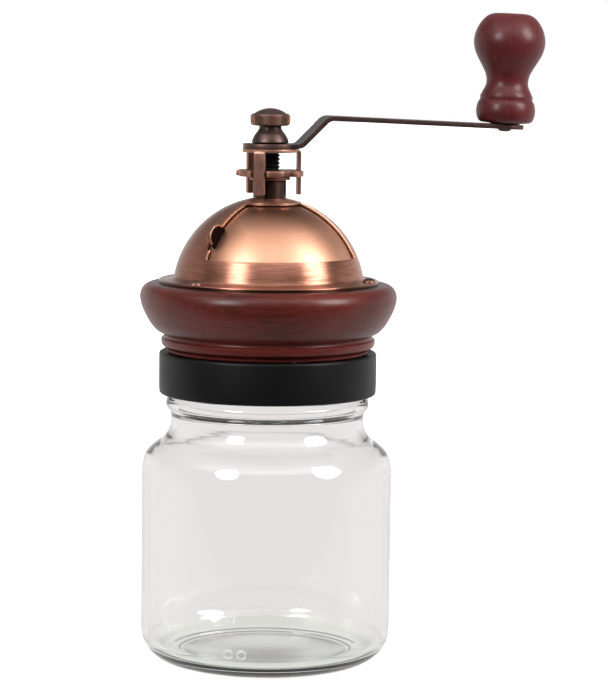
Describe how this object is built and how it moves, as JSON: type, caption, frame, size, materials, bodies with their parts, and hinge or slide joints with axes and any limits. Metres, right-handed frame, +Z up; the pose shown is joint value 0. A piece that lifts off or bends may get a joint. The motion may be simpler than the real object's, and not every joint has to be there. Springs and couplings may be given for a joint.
{
  "type": "hand coffee grinder mill",
  "caption": "Hand coffee grinder with a glass jar, screw collar, wooden ring, copper dome with a sliding hopper door, conical burrs and a cranked handle.",
  "frame": {"origin": "centre of the jar's flat base, where the grinder stands", "axes": "+Z up along the spindle; the hopper door's middle faces -Y; at rest the crank points 6.5 degrees from +X towards -Y"},
  "size_m": [0.1581, 0.1, 0.2534],
  "materials": {
    "glass": "clear, slightly green where thick",
    "seal_rubber": "matte",
    "black_plastic": "satin",
    "mahogany": "semi-gloss lacquer",
    "copper": "antique copper plate, brushed",
    "dark_copper": "dark antique copper plate, worn bright at the edges",
    "steel": "plain",
    "burr_iron": "as cast, machined teeth",
    "bronze": "machined"
  },
  "bodies": {
    "jar": {"glass_jar": "glass"},
    "seal": {"jar_seal": "seal_rubber"},
    "head": {"jar_collar": "black_plastic", "wood_ring": "mahogany", "dome_shell": "copper", "dome_screw_1": "dark_copper", "dome_screw_2": "dark_copper", "dome_screw_3": "dark_copper", "neck_tube": "dark_copper", "upper_bush": "bronze", "thrust_washer": "dark_copper", "bearing_bridge": "steel", "lower_bush": "bronze", "ring_burr": "burr_iron", "burr_screw_1": "steel", "burr_screw_2": "steel", "burr_screw_3": "steel", "collar_screw_1": "steel", "collar_screw_2": "steel", "collar_screw_3": "steel"},
    "door": {"hopper_door": "copper"},
    "adjuster": {"adjusting_nut": "dark_copper"},
    "rotor": {"spindle": "dark_copper", "spring_clip": "steel", "spindle_spring": "steel", "cone_burr": "burr_iron", "burr_washer": "steel", "burr_nut": "steel", "lock_bracket": "dark_copper", "crank_arm": "dark_copper", "cap_nut": "dark_copper", "knob_pin": "dark_copper", "knob_washer": "dark_copper"},
    "knob": {"knob_bush": "bronze", "knob_grip": "mahogany"}
  },
  "joints": [
    {"name": "head_lift", "type": "slide", "parent": "jar", "child": "seal", "axis": [0, 0, 1], "range_m": [0, 0.06]},
    {"name": "head_unscrew", "type": "hinge", "parent": "seal", "child": "head", "pos_m": [0, 0, 0.105], "axis": [0, 0, 1], "range_deg": [0, 450]},
    {"name": "door_slide", "type": "hinge", "parent": "head", "child": "door", "pos_m": [0, 0, 0.178], "axis": [0, 0, 1], "range_deg": [0, 108]},
    {"name": "crank_spin", "type": "hinge", "parent": "head", "child": "adjuster", "pos_m": [0, 0, 0.19], "axis": [0, 0, 1], "continuous": true},
    {"name": "grind_adjust", "type": "slide", "parent": "adjuster", "child": "rotor", "axis": [0, 0, 1], "range_m": [0, 0.0012], "deforming": ["spindle_spring"]},
    {"name": "knob_spin", "type": "hinge", "parent": "rotor", "child": "knob", "pos_m": [0.0929, -0.01059, 0.21032], "axis": [0.0399, -0.0045, 0.9992], "continuous": true}
  ]
}
